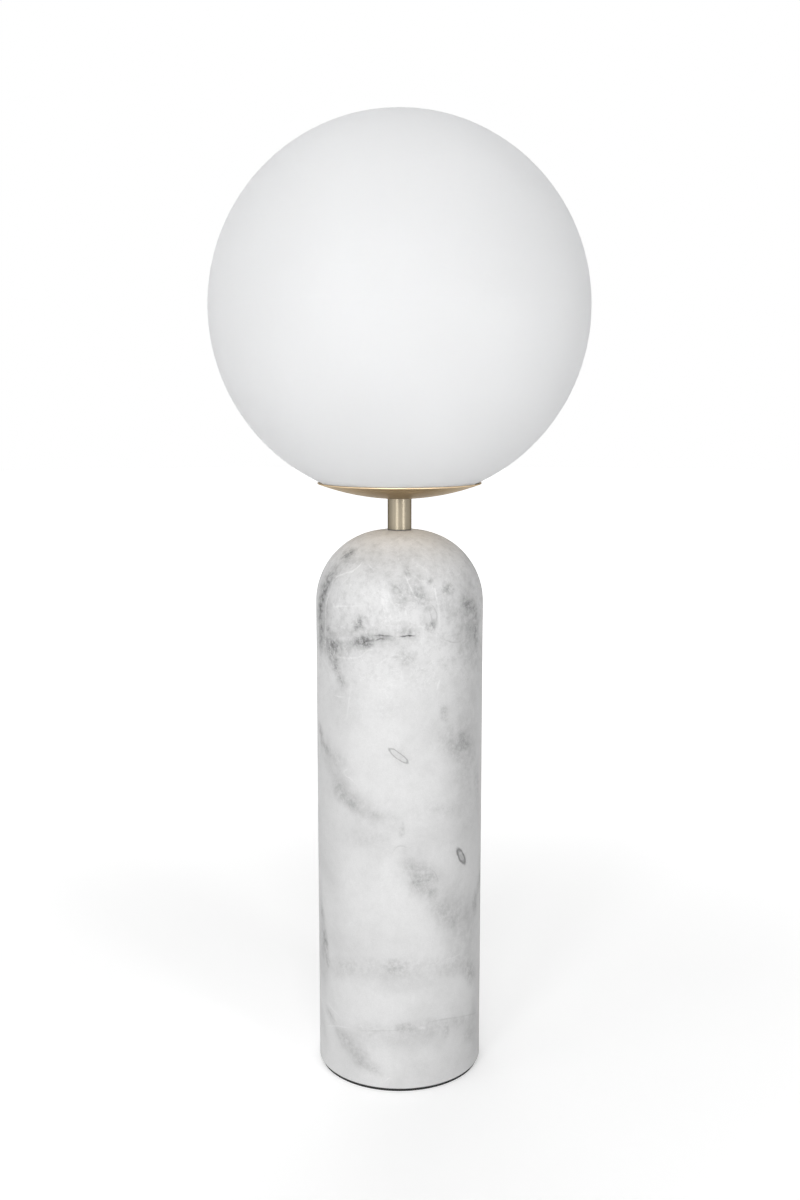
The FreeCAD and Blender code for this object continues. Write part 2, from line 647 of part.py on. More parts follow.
def lamp_parts():
    """Every piece of the lamp by name."""
    parts = {
        "foot_pad": foot_pad(),
        "marble_column": marble_column(),
        "inlet_bush": inlet_bush(),
        "base_washer": ring(
            CLAMP_BORE_RADIUS, BASE_WASHER_RADIUS, BASE_WASHER_BOTTOM, BASE_WASHER_THICKNESS),
        "base_lock_washer": toothed_washer(BASE_LOCK_BOTTOM),
        "base_nut": hexagon_nut(BASE_NUT_BOTTOM),
        "threaded_tube": threaded_tube(),
        "neck_gasket": ring(CLAMP_BORE_RADIUS, NECK_RADIUS, COLUMN_TOP, NECK_GASKET_THICKNESS),
        "neck_tube": neck_tube(),
        "dish": dish(),
        "dish_lock_washer": toothed_washer(DISH_FLOOR),
        "dish_nut": hexagon_nut(DISH_NUT_BOTTOM),
        "glass_seat_ring": glass_seat_ring(),
        "clip_plate": clip_plate(),
        "clip_rivets": clip_rivets(),
        "holder_cap": holder_cap(),
        "holder_core": holder_core(),
        "holder_skirt": holder_skirt(),
        "screw_shell": screw_shell(),
        "terminal_screws": terminal_screws(),
        "centre_contact": centre_contact(),
        "bulb_contact": bulb_contact(),
        "bulb_insulator": bulb_insulator(),
        "bulb_cap": bulb_cap(),
        "bulb_body": bulb_body(),
        "led_board": led_board(),
        "bulb_dome": bulb_dome(),
        "globe": globe(),
    }
    clip = spring_clip()
    for number, (angle, _) in enumerate(rivet_places(), start=1):
        parts["spring_clip_%d" % number] = round_the_axis(clip, angle)
    return parts


def main():
    """Write one file per piece and print its size."""
    os.makedirs("parts", exist_ok=True)
    for name, shape in lamp_parts().items():
        shape.exportStep("parts/%s.step" % name)
        box = shape.BoundBox
        print("%-18s solids %d valid %s volume %9.1f z %7.2f to %7.2f" % (
            name, len(shape.Solids), shape.isValid(), shape.Volume, box.ZMin, box.ZMax))


main()
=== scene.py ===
"""Looks of the globe lamp: the finish of every surface, the floor, the lamps and the camera."""
import math

import bpy
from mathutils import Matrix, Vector


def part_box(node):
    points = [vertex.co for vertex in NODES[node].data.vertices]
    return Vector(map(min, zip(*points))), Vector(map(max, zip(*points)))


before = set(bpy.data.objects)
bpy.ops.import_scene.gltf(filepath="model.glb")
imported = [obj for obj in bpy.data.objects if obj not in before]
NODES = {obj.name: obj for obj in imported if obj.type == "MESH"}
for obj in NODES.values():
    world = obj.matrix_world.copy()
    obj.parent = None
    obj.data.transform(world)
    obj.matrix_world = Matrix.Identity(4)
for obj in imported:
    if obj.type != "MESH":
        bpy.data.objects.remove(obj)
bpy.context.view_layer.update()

# Camera, fitted to the outlines of the photograph (pixels, metres and degrees)
IMAGE_WIDTH_PX = 800
IMAGE_HEIGHT_PX = 1200
FOCAL_PX = 1355.8
SENSOR_MM = 36.0
CAMERA_PLACE = Vector((0.00025, -0.7276, 0.3736))
CAMERA_PITCH = 8.75

# The level at which the surround is seen. The floor is a pale grey disc (metres), and glows where it
# is seen, at one level near the lamp and at another far from it.
WHITE = 1.0
FLOOR_GREY = 0.8
FLOOR_RADIUS = 6.0
FLOOR_CORNERS = 96
FLOOR_FADE = (0.15, 1.2)
FLOOR_LIFT_NEAR = 0.32
FLOOR_LIFT_FAR = 0.95

# The lamps, all aimed at one place: degrees to the right of the camera's side, metres away and up,
# width, height and watts. The surround's light goes from one level on the left to one on the right.
LIGHT_AIM = Vector((0, 0, 0.28))
LIGHTS = {
    "left side": (-60, 1.4, 0.5, 0.6, 0.9, 1.6),
    "left strip": (-24, 1.4, 0.5, 0.26, 1.0, 5.6),
    "front high": (0, 1.5, 0.95, 0.6, 0.6, 8.0),
    "front right high": (20, 1.4, 0.95, 0.6, 0.6, 1.6),
    "right strip": (39, 1.4, 0.5, 0.24, 1.0, 5.2),
    "behind": (180, 1.4, 0.6, 0.9, 0.9, 2.1),
    "above behind": (180, 0.6, 1.7, 0.9, 0.9, 6.0),
}
SURROUND_LEFT = 0.56
SURROUND_RIGHT = 0.10
SURROUND_FADE = (-0.5, 0.5)

# The opal glass: its two near whites, its roughness, and the share of light that it passes on
OPAL_LOW = (0.95, 0.952, 0.955)
OPAL_HIGH = (0.973, 0.975, 0.978)
OPAL_ROUGHNESS = (0.46, 0.54)
OPAL_THROUGH = 0.75

# The satin brass of the dish and of the neck: its two near colours, the tint of its grazing
# reflections, whether its fine lines run upright, and how much lacquer it has. The neck's is the
# same brass painted far darker and greyer than the dish's, as painted shade.
DISH_BRASS = ((0.70, 0.545, 0.355), (0.74, 0.58, 0.38), (0.30, 0.30, 0.30), False, 0.0)
NECK_BRASS_PAINTED_SHADE = ((0.235, 0.205, 0.155), (0.26, 0.228, 0.172), (0.10, 0.09, 0.07), True, 0.12)
BRASS_ROUGHNESS = (0.33, 0.38)

# How far the roughness of a moulded surface goes to either side of its stated value
ROUGH_SPREAD = 0.05

# The range in which most of a noise's values lie, and the inputs of a step from low to high
NOISE_RANGE = (0.3, 0.7)
STEP_INPUTS = ("From Min", "From Max", "To Min", "To Max")

# The column's surface, from the frame (metres)
COLUMN_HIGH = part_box("marble_column")[1]
COLUMN_RADIUS = COLUMN_HIGH.x
NECK_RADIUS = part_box("neck_tube")[1].x
DOME_RADIUS = COLUMN_RADIUS - NECK_RADIUS
DOME_START = COLUMN_HIGH.z - DOME_RADIUS

# Where a ray from the camera is searched for the column
RAY_START = 0.5
RAY_END = 1.0
RAY_STEPS = 120
RAY_HALVINGS = 20

# The marble: the albedo of its ground, then its marks, named by where they lie in the photograph.
# A stain is a chain of pixels that it covers, its half width in metres and how much it darkens.
MARBLE_GROUND = 0.62
STAINS = {
    "shoulder spot": ([(344, 556), (349, 553)], 0.0034, 0.34),
    "shoulder fleck": ([(350, 552), (355, 550)], 0.0024, 0.20),
    "shoulder haze": ([(338, 563), (352, 557)], 0.0050, 0.10),
    "left rim high": ([(336, 568), (328, 580), (323, 594)], 0.0036, 0.26),
    "left rim middle": ([(323, 594), (320, 606), (319, 618)], 0.0040, 0.26),
    "left rim low": ([(320, 620), (321, 634), (320, 648)], 0.0034, 0.18),
    "left dot": ([(328, 629), (330, 632)], 0.0015, 0.22),
    "cheek spot": ([(356, 627), (359, 624)], 0.0026, 0.26),
    "cheek flecks": ([(355, 619), (365, 620)], 0.0028, 0.18),
    "cheek haze": ([(342, 622), (368, 630)], 0.0060, 0.07),
    "belt left": ([(346, 644), (374, 640)], 0.0034, 0.22),
    "belt knot": ([(362, 643), (369, 641)], 0.0036, 0.18),
    "belt middle": ([(374, 638), (395, 638)], 0.0022, 0.24),
    "belt right": ([(399, 636), (417, 635)], 0.0028, 0.18),
    "belt crown": ([(399, 630), (416, 629)], 0.0024, 0.12),
    "left knot": ([(328, 645), (339, 647)], 0.0052, 0.32),
    "left knot core": ([(333, 645), (337, 647)], 0.0026, 0.08),
    "left tail high": ([(331, 654), (336, 668)], 0.0034, 0.24),
    "left tail low": ([(337, 669), (344, 688)], 0.0030, 0.24),
    "left tail haze": ([(332, 690), (346, 704)], 0.0046, 0.07),
    "crown fleck": ([(407, 566), (410, 575)], 0.0020, 0.18),
    "middle patch": ([(392, 586), (404, 584)], 0.0034, 0.14),
    "middle patch heart": ([(394, 594), (408, 596)], 0.0042, 0.15),
    "middle patch foot": ([(393, 604), (406, 608)], 0.0034, 0.10),
    "vein shade high": ([(414, 586), (423, 600)], 0.0036, 0.20),
    "vein shade low": ([(420, 600), (431, 614)], 0.0030, 0.14),
    "vein foot": ([(431, 628), (433, 623)], 0.0026, 0.34),
    "right dot": ([(428, 581), (430, 579)], 0.0014, 0.22),
    "right spot": ([(445, 589), (449, 588)], 0.0030, 0.24),
    "right haze": ([(440, 598), (458, 618)], 0.0070, 0.07),
    "right flecks high": ([(466, 600), (475, 612)], 0.0040, 0.22),
    "right flecks low": ([(476, 618), (477, 646)], 0.0036, 0.22),
    "right ears": ([(442, 636), (462, 640)], 0.0036, 0.08),
    "under belt": ([(401, 658), (410, 657)], 0.0034, 0.16),
    "under belt drift": ([(396, 664), (420, 668)], 0.0060, 0.06),
    "chest cloud": ([(378, 712), (400, 708)], 0.0060, 0.07),
    "right drop": ([(442, 708), (446, 719)], 0.0026, 0.22),
    "right cloud": ([(438, 736), (468, 750)], 0.0080, 0.10),
    "right cloud core": ([(462, 742), (469, 748)], 0.0034, 0.08),
    "left flow high": ([(319, 722), (322, 742)], 0.0030, 0.26),
    "left flow low": ([(322, 742), (330, 752)], 0.0028, 0.16),
    "left flow foot": ([(332, 756), (344, 762)], 0.0044, 0.10),
    "squiggle shade": ([(349, 773), (353, 771)], 0.0020, 0.10),
    "left crescent head": ([(335, 780), (340, 794)], 0.0042, 0.11),
    "left crescent": ([(340, 792), (350, 802), (361, 808)], 0.0044, 0.10),
    "crescent tail": ([(372, 814), (376, 814)], 0.0024, 0.10),
    "crescent drift": ([(380, 816), (400, 822)], 0.0044, 0.06),
    "right band": ([(416, 808), (470, 808)], 0.0042, 0.08),
    "right edge shade": ([(477, 760), (478, 812)], 0.0040, 0.12),
    "middle tick": ([(404, 824), (400, 836)], 0.0014, 0.15),
    "left haze": ([(360, 838), (378, 838)], 0.0060, 0.07),
    "belly head": ([(404, 866), (424, 868)], 0.0036, 0.12),
    "belly": ([(412, 878), (436, 880)], 0.0062, 0.09),
    "belly core": ([(427, 877), (433, 878)], 0.0030, 0.12),
    "belly side": ([(415, 878), (419, 882)], 0.0024, 0.12),
    "belly foot": ([(414, 890), (428, 892)], 0.0040, 0.08),
    "right slope": ([(480, 872), (478, 890)], 0.0028, 0.28),
    "right slope foot": ([(475, 894), (475, 910)], 0.0030, 0.24),
    "right low cloud": ([(434, 906), (456, 922)], 0.0066, 0.12),
    "right low flecks": ([(430, 895), (433, 893)], 0.0030, 0.10),
    "left low edge": ([(321, 900), (323, 920)], 0.0030, 0.16),
    "left low spot": ([(324, 932), (326, 950)], 0.0034, 0.32),
    "left low foot": ([(327, 958), (328, 962)], 0.0024, 0.20),
    "low belt": ([(330, 966), (370, 967), (430, 965), (470, 962)], 0.0056, 0.10),
    "low belt core": ([(388, 964), (404, 964)], 0.0030, 0.09),
    "low belt core foot": ([(390, 971), (400, 971)], 0.0022, 0.07),
    "right low knot": ([(466, 968), (474, 978)], 0.0042, 0.20),
    "foot belt": ([(352, 1028), (400, 1029), (440, 1026)], 0.0046, 0.09),
    "foot belt core": ([(396, 1028), (412, 1028)], 0.0022, 0.16),
    "foot belt right": ([(430, 1022), (474, 1016)], 0.0034, 0.10),
    "foot drop": ([(446, 1024), (446, 1038)], 0.0018, 0.14),
    "left foot shade": ([(326, 1006), (334, 1022)], 0.0028, 0.14),
    "foot slope high": ([(338, 1031), (350, 1045)], 0.0040, 0.12),
    "foot slope low": ([(352, 1048), (364, 1064)], 0.0050, 0.11),
    "foot slope core": ([(360, 1062), (365, 1064)], 0.0024, 0.07),
    "foot slope end": ([(372, 1068), (380, 1071)], 0.0030, 0.12),
    "right foot flecks": ([(464, 1030), (474, 1036)], 0.0040, 0.10),
    "upper eyelet halo": ([(389, 749), (408, 764)], 0.0040, 0.09),
    "lower eyelet halo": ([(458, 850), (464, 863)], 0.0044, 0.12),
}

# The same for the wide, faint clouds, with painted shade down the column's left and right sides
# and painted light on the dome under the neck, where a strength below nought lightens
CLOUDS_AND_PAINTED_LIGHT_AND_SHADE = {
    "crown": ([(350, 556), (446, 558)], 0.0150, 0.07),
    # Painted light: lifts the dome's top under the neck, where the globe and dish shade it
    "neck painted light": ([(374, 539), (428, 539)], 0.0160, -0.06),
    # Partly grey clouds and partly painted shade, darkening the column's sides where they turn from the
    # lamps
    "left shoulder": ([(326, 572), (322, 650)], 0.0160, 0.24),
    "right shoulder": ([(464, 584), (472, 650)], 0.0180, 0.22),
    "brow": ([(390, 580), (440, 612)], 0.0140, 0.07),
    "belt": ([(330, 640), (420, 637)], 0.0095, 0.15),
    # Painted shade down the right side, over its grey clouds
    "right wall": ([(468, 660), (466, 840)], 0.0210, 0.18),
    "right wall heart": ([(446, 730), (468, 752)], 0.0140, 0.10),
    "left bend": ([(320, 730), (334, 770), (352, 802), (384, 820)], 0.0110, 0.12),
    "under left": ([(350, 830), (392, 850)], 0.0150, 0.07),
    "belly": ([(404, 850), (436, 900)], 0.0160, 0.12),
    # Painted shade down both sides, over their grey clouds
    "right low": ([(452, 886), (470, 960)], 0.0200, 0.19),
    "left low": ([(320, 890), (324, 990)], 0.0130, 0.18),
    "low belt": ([(326, 962), (476, 958)], 0.0100, 0.08),
    "foot belt": ([(330, 1026), (474, 1016)], 0.0090, 0.08),
    "foot slope": ([(334, 1026), (374, 1068)], 0.0110, 0.10),
    # Painted shade at the two sides of the foot, over their grey clouds
    "left foot": ([(320, 1000), (326, 1040)], 0.0110, 0.12),
    "right foot": ([(474, 1000), (474, 1040)], 0.0110, 0.08),
}

# A vein is a chain of (pixel across, pixel down, strength) and a half width in metres. It darkens
# where its strength is above nought, and lightens below.
VEINS = {
    "left arc": ([(331, 586, -0.12), (336, 578, -0.15), (343, 574, -0.13), (352, 571.5, -0.17),
                  (359, 566, -0.15), (363, 563, -0.12), (368, 564, -0.09)], 0.0008),
    "left arc fall": ([(332, 584, -0.12), (328, 596, -0.20), (326, 608, -0.15), (325.5, 622, -0.12),
                       (325.5, 640, -0.12), (326.5, 656, -0.08)], 0.0007),
    "arc spur": ([(366, 562, -0.10), (370, 566, -0.12), (374, 571, -0.08)], 0.0008),
    "middle vein": ([(385, 580, -0.05), (388, 592, -0.08), (392, 602, -0.08), (396, 612, -0.06),
                     (397.5, 626, -0.07), (397, 638, -0.10), (394, 652, -0.04)], 0.0010),
    "middle vein glow": ([(381, 574, -0.03), (383, 586, -0.06), (386, 600, -0.02)], 0.0044),
    "crown vein": ([(404, 569, -0.14), (407, 580, -0.18), (411, 589, -0.16), (415, 596, -0.12),
                    (422, 606, -0.06)], 0.0007),
    "crown spur": ([(407, 580, -0.12), (414, 577, -0.07)], 0.0007),
    "right vein": ([(433.5, 577, -0.10), (435, 588, -0.18), (437, 598, -0.10), (439, 614, -0.07),
                    (440, 632, -0.05)], 0.0009),
    "cross vein": ([(331, 607, -0.06), (351, 606, -0.09), (371, 605, -0.05)], 0.0008),
    "under belt vein": ([(334, 656, -0.10), (355, 658, -0.07), (371, 650, -0.09), (391, 648, -0.06)],
                        0.0009),
    "belt crest": ([(338, 640, -0.12), (350, 638, -0.10), (362, 634, -0.06)], 0.0022),
    "short vein": ([(437, 690, -0.09), (439, 682, -0.14), (441, 675, -0.08)], 0.0009),
    "left wisp": ([(334, 695, -0.07), (341, 697, -0.10), (349, 696, -0.06)], 0.0007),
    "left long wisp": ([(352, 676, -0.04), (349, 700, -0.07), (346, 722, -0.04)], 0.0009),
    "left squiggle": ([(342, 775, -0.06), (346, 770, -0.07), (353, 768, -0.06)], 0.0006),
    "left rise": ([(362, 790, -0.03), (354, 782, -0.06), (344, 774, -0.08)], 0.0008),
    "right squiggle": ([(443, 960, -0.05), (453, 957.5, -0.07), (460, 954, -0.06),
                        (464, 956, -0.06)], 0.0006),
    "foot line": ([(325, 1026, -0.06), (345, 1027, -0.08), (360, 1029, -0.04)], 0.0006),
    "foot arc": ([(328, 1002, -0.06), (335, 1012, -0.08), (346, 1021, -0.05)], 0.0008),
    "foot glint": ([(417, 1028, -0.05), (423, 1028, -0.12), (429, 1027, -0.05)], 0.0016),
    "hem wisp": ([(384, 1083, -0.06), (388, 1079, -0.12), (394, 1077, -0.08)], 0.0007),
    "belt line": ([(399, 637, 0.30), (404, 636, 0.55), (410, 636, 0.60), (416, 635.5, 0.30)], 0.0006),
    "belt line left": ([(373, 636, 0.20), (380, 635.5, 0.34), (388, 636, 0.30), (394, 637, 0.22)],
                       0.0006),
    "belt hook": ([(375, 641, 0.25), (380, 639, 0.30), (385, 639, 0.12)], 0.0006),
    "curl": ([(431, 604, 0.12), (435, 610, 0.18), (437, 617, 0.20), (434, 624, 0.12)], 0.0006),
    "curl inside": ([(427, 608, 0.08), (431, 614, 0.14), (432, 621, 0.12)], 0.0006),
    "right arc": ([(440, 637, 0.08), (448, 641, 0.14), (458, 642, 0.12), (464, 638, 0.08)], 0.0006),
    "foot right line": ([(425, 1024, 0.06), (440, 1020, 0.10), (460, 1017, 0.08), (477, 1012, 0.08)],
                        0.0007),
    "foot left line": ([(357, 1030, 0.05), (377, 1031, 0.08), (400, 1030, 0.06)], 0.0006),
    "tick curl": ([(391, 856, 0.05), (394, 850, 0.10), (400, 846, 0.12), (408, 848, 0.07)], 0.0006),
    "tail line": ([(332, 656, 0.05), (338, 672, 0.12), (344, 688, 0.08)], 0.0006),
    "slope line": ([(326, 1004, 0.06), (333, 1018, 0.07), (338, 1024, 0.05)], 0.0007),
    "belly loop": ([(410, 872, 0.06), (414, 884, 0.10), (420, 893, 0.06)], 0.0007),
    "belly loop right": ([(424, 866, 0.06), (434, 872, 0.10), (438, 882, 0.08)], 0.0007),
}

# An eyelet is a thin dark oval between two pixels: its half width in metres, how thick its line is
# as a share of that, how much it darkens, and how much what lies inside does.
EYELETS = {
    "upper eyelet": ((390.8, 750.1), (406.2, 761.9), 0.0021, 0.20, 0.32, 0.03),
    "lower eyelet": ((458.1, 850.3), (464.3, 862.1), 0.0028, 0.34, 0.32, 0.20),
}

# How much wider than stated a stain fades out
STAIN_SPREAD = 1.75

# The depth over which the drawn marks give way to the back's free pattern, and the heights over
# which the upper part gets its flecks, and in front a share of that pattern (metres)
BACK_FADE = (-0.02, 0.012)
FLECKS_FADE = (0.205, 0.245)
FLECKS_BELOW = 0.25
PATCHES_FADE = (0.205, 0.250)
PATCHES_IN_FRONT = 0.18

# The marble's own patterns: each a noise (scale, detail, roughness, distortion), and the step
# (start, end, low, high) that makes of it how much it darkens, or how much the marks are scaled
MOTTLE = ((420.0, 4.0, 0.7), (0.34, 0.64, 0.35, 1.5))
RIPPLE = ((150.0, 5.0, 0.7), (0.30, 0.70, 0.55, 1.45))
PATCHES = ((60.0, 6.0, 0.68, 0.6), (0.47, 0.72, 0.0, 0.42))
HAZE = ((24.0, 4.0, 0.55, 0.4), (0.40, 0.72, 0.0, 0.10))
SPECKLE = ((260.0, 5.0, 0.75), (0.42, 0.72, -0.02, 0.13))
GRAIN = ((1500.0, 3.0, 0.7), (0.3, 0.7, -0.03, 0.03))
THREADS_NOISE = (55.0, 5.0, 0.6, 1.0)
THREADS_STEP = (0.014, 0.0, 0.0, -0.09)
MARBLE_ROUGHNESS = (0.50, 0.60)

# How far noise shifts the stains and the veins, in metres, and how coarse that noise is
SOFT_WARP = (0.0050, 110.0)
CRISP_WARP = (0.0012, 240.0)

# The share of a vein's length over which it fades at each end
VEIN_TAPER = 0.12


class Shader:
    """A node material with short ways to add and join its nodes."""

    def __init__(self, name):
        self.material = bpy.data.materials.new(name)
        self.material.use_nodes = True
        self.tree = self.material.node_tree
        self.principled = self.tree.nodes["Principled BSDF"]
        self.output = self.tree.nodes["Material Output"]

    def node(self, kind, settings=None, **inputs):
        """A node with its settings and its inputs, which may be values or sockets."""
        node = self.tree.nodes.new(kind)
        for key, value in (settings or {}).items():
            setattr(node, key, value)
        for key, value in inputs.items():
            socket = node.inputs[int(key[1:]) if key[1:].isdigit() else key.replace("_", " ")]
            self.feed(socket, value)
        return node

    def feed(self, socket, value):
        """Links a socket to another, or sets its value."""
        if isinstance(value, bpy.types.NodeSocket):
            self.tree.links.new(value, socket)
        else:
            socket.default_value = value

    def math(self, operation, first, second=0.0, third=0.0, clamp=False):
        """The result of one sum."""
        settings = {"operation": operation, "use_clamp": clamp}
        return self.node("ShaderNodeMath", settings, i0=first, i1=second, i2=third).outputs[0]

    def position(self):
        """Where on the object a point lies, in metres."""
        return self.node("ShaderNodeTexCoord").outputs["Object"]

    def noise(self, vector, scale, detail=2.0, roughness=0.5, distortion=0.0):
        """Cloud noise from 0 to 1."""
        node = self.node("ShaderNodeTexNoise", None, Vector=vector, Scale=scale, Detail=detail,
                         Roughness=roughness, Distortion=distortion)
        return node.outputs["Fac"]

    def stretch(self, vector, scale, place=(0, 0, 0)):
        """The vector scaled and moved."""
        node = self.node("ShaderNodeMapping", None, Vector=vector, Scale=scale, Location=place)
        return node.outputs["Vector"]

    def ramp(self, value, start, end, low=0.0, high=1.0):
        """A smooth step from low to high as value goes from start to end."""
        node = self.node("ShaderNodeMapRange", {"interpolation_type": "SMOOTHSTEP"}, Value=value)
        for key, number in zip(STEP_INPUTS, (start, end, low, high)):
            self.feed(node.inputs[key], number)
        return node.outputs["Result"]

    def pattern(self, vector, noise, step):
        """A noise with its settings, put through a smooth step."""
        return self.ramp(self.noise(vector, *noise), *step)

    def colours(self, value, low, high):
        """One colour where a noise is low, another where it is high, and mixed between."""
        node = self.node("ShaderNodeValToRGB", None, Fac=value)
        for element, place, colour in zip(node.color_ramp.elements, NOISE_RANGE, (low, high)):
            element.position = place
            element.color = (*colour, 1.0)
        return node.outputs["Color"]

    def curve(self, value, points):
        """A smooth curve through (value, result) points, level beyond its ends."""
        node = self.node("ShaderNodeFloatCurve", None, Value=value)
        line = node.mapping.curves[0]
        for place, result in points[1:-1]:
            line.points.new(place, result)
        ends = (line.points[0], line.points[len(line.points) - 1])
        for end, (place, result) in zip(ends, (points[0], points[-1])):
            end.location = (place, result)
        node.mapping.extend = "HORIZONTAL"
        node.mapping.update()
        return node.outputs["Value"]

    def bump(self, height, distance, strength=1.0):
        """Feeds a height to the surface's normal. A height of 1 is as many metres as distance says."""
        node = self.node("ShaderNodeBump", None, Height=height, Distance=distance, Strength=strength)
        self.feed(self.principled.inputs["Normal"], node.outputs["Normal"])

    def surface(self, **inputs):
        """Sets or links inputs of the main shader."""
        for key, value in inputs.items():
            self.feed(self.principled.inputs[key.replace("_", " ")], value)
        return self.material


def grey(level):
    """A neutral colour."""
    return (level, level, level)


def opal_glass():
    """Satin-etched opal glass: white, letting most of the light through, a little uneven inside."""
    shader = Shader("opal_glass")
    place = shader.position()
    cloud = shader.noise(place, 14.0, 3.0)
    colour = shader.colours(cloud, OPAL_LOW, OPAL_HIGH)
    etch = shader.noise(place, 2600.0, 2.0)
    roll = shader.noise(place, 30.0, 1.0)
    height = shader.math("ADD", shader.math("MULTIPLY", etch, 0.06), roll)
    shader.bump(height, 0.0003, 0.35)
    rough = shader.ramp(cloud, 0.2, 0.8, *OPAL_ROUGHNESS)
    shader.surface(Base_Color=colour, Roughness=rough, IOR=1.45, Specular_IOR_Level=0.35)
    through = shader.node("ShaderNodeBsdfTranslucent", None, Color=colour)
    both = shader.node("ShaderNodeMixShader", None, Fac=OPAL_THROUGH, i1=shader.principled.outputs[0],
                       i2=through.outputs[0])
    shader.feed(shader.output.inputs["Surface"], both.outputs[0])
    return shader.material


def on_column(pixel):
    """Surface place (across, up) in metres of what the photograph shows at a pixel of the column."""
    across, down = pixel
    pitch = math.radians(CAMERA_PITCH)
    right = (across - IMAGE_WIDTH_PX / 2) / FOCAL_PX
    rise = (IMAGE_HEIGHT_PX / 2 - down) / FOCAL_PX
    ahead = Vector((0, math.cos(pitch), -math.sin(pitch)))
    above = Vector((0, math.sin(pitch), math.cos(pitch)))
    ray = ahead + right * Vector((1, 0, 0)) + rise * above
    near, far = RAY_START, RAY_END
    step = (far - near) / RAY_STEPS
    while near < far and not inside_column(CAMERA_PLACE + ray * (near + step)):
        near += step
    far = near + step
    for _ in range(RAY_HALVINGS):
        middle = (near + far) / 2
        if inside_column(CAMERA_PLACE + ray * middle):
            far = middle
        else:
            near = middle
    return unrolled(CAMERA_PLACE + ray * near)


def inside_column(place):
    """Whether a point lies inside the column or its dome."""
    reach = math.hypot(place.x, place.y)
    if place.z <= DOME_START:
        return reach < COLUMN_RADIUS
    above = place.z - DOME_START
    return above < DOME_RADIUS and reach < NECK_RADIUS + math.sqrt(DOME_RADIUS ** 2 - above ** 2)


def unrolled(place):
    """The surface of the column laid flat: across from the front line, and up along the dome."""
    reach = math.hypot(place.x, place.y)
    across = math.atan2(place.x, -place.y) * reach
    above = min(max(place.z - DOME_START, 0.0) / DOME_RADIUS, 1.0)
    return Vector((across, min(place.z, DOME_START) + DOME_RADIUS * math.asin(above)))


def unrolled_nodes(shader, place):
    """The same as unrolled, worked out by nodes."""
    x, y, z = shader.node("ShaderNodeSeparateXYZ", None, Vector=place).outputs
    reach = shader.math("SQRT", shader.math("MULTIPLY_ADD", x, x, shader.math("MULTIPLY", y, y)))
    angle = shader.math("ARCTAN2", x, shader.math("MULTIPLY", y, -1.0))
    above = shader.math("MAXIMUM", shader.math("SUBTRACT", z, DOME_START), 0.0)
    share = shader.math("MINIMUM", shader.math("DIVIDE", above, DOME_RADIUS), 1.0)
    level = shader.math("MINIMUM", z, DOME_START)
    up = shader.math("MULTIPLY_ADD", shader.math("ARCSINE", share), DOME_RADIUS, level)
    across = shader.math("MULTIPLY", angle, reach)
    return shader.node("ShaderNodeCombineXYZ", None, X=across, Y=up).outputs[0]


def warped(shader, place, flat, warp):
    """The flat map shifted by noise, so that what is drawn on it gets uneven edges."""
    reach, scale = warp
    swirl = shader.node("ShaderNodeTexNoise", None, Vector=place, Scale=scale, Detail=3.0)
    moved = shader.node("ShaderNodeVectorMath", {"operation": "MULTIPLY_ADD"},
                        i0=swirl.outputs["Color"], i1=(reach, reach, 0), i2=flat)
    return shader.stretch(moved.outputs[0], (1, 1, 0), place=(-reach / 2, -reach / 2, 0))


def oval(shader, flat, start, end, half_width):
    """1 in the middle of an oval round the stretch from start to end, falling to 0 at its rim."""
    run = end - start
    middle = (start + end) / 2
    placed = shader.node("ShaderNodeMapping", {"vector_type": "TEXTURE"}, Vector=flat,
                         Location=(middle.x, middle.y, 0), Rotation=(0, 0, math.atan2(run.y, run.x)),
                         Scale=(run.length / 2 + half_width, half_width, 1))
    ball = shader.node("ShaderNodeTexGradient", {"gradient_type": "SPHERICAL"},
                       Vector=placed.outputs[0])
    return ball.outputs["Fac"]


def stains(shader, flat, marks, spread):
    """How much all the marks darken, each spread wider than its own half width."""
    total = 0.0
    for points, half_width, strength in marks.values():
        spots = [on_column(pixel) for pixel in points]
        for start, end in zip(spots, spots[1:]):
            mask = shader.ramp(oval(shader, flat, start, end, half_width * spread), 0.0, 1.0)
            total = shader.math("MULTIPLY_ADD", mask, strength, total)
    return total


def eyelets(shader, flat, total):
    """Adds the thin dark ovals to how much the marble is darkened."""
    for start, end, half_width, line, strength, inside in EYELETS.values():
        reach = oval(shader, flat, on_column(start), on_column(end), half_width)
        off = shader.math("ABSOLUTE", shader.math("SUBTRACT", reach, line))
        total = shader.math("MULTIPLY_ADD", shader.ramp(off, line, 0.0), strength, total)
        total = shader.math("MULTIPLY_ADD", shader.ramp(reach, 0.0, line), inside, total)
    return total


def veins(shader, flat, total):
    """Adds the veins to how much the marble is darkened. Each is a smooth curve along one axis."""
    sheet = shader.node("ShaderNodeSeparateXYZ", None, Vector=flat).outputs
    for points, half_width in VEINS.values():
        spots = [(on_column((across, down)), strength) for across, down, strength in points]
        run = spots[-1][0] - spots[0][0]
        main, side = (0, 1) if abs(run.x) > abs(run.y) else (1, 0)
        spots.sort(key=lambda spot: spot[0][main])
        first, last = spots[0][0][main], spots[-1][0][main]
        low = min(spot[side] for spot, _ in spots)
        span = max(spot[side] for spot, _ in spots) - low + half_width
        steps = [((spot[main] - first) / (last - first), (spot[side] - low) / span, strength)
                 for spot, strength in spots]
        along = shader.math("MULTIPLY_ADD", sheet[main], 1 / (last - first), -first / (last - first))
        course = shader.curve(along, [(place, offset) for place, offset, _ in steps])
        centre = shader.math("MULTIPLY_ADD", course, span, low)
        off = shader.math("ABSOLUTE", shader.math("SUBTRACT", sheet[side], centre))
        line = shader.ramp(off, half_width, 0.0)
        swell = [(VEIN_TAPER + place * (1 - 2 * VEIN_TAPER), strength) for place, _, strength in steps]
        weight = shader.curve(along, [(0.0, 0.0), *swell, (1.0, 0.0)])
        total = shader.math("MULTIPLY_ADD", line, weight, total)
    return total


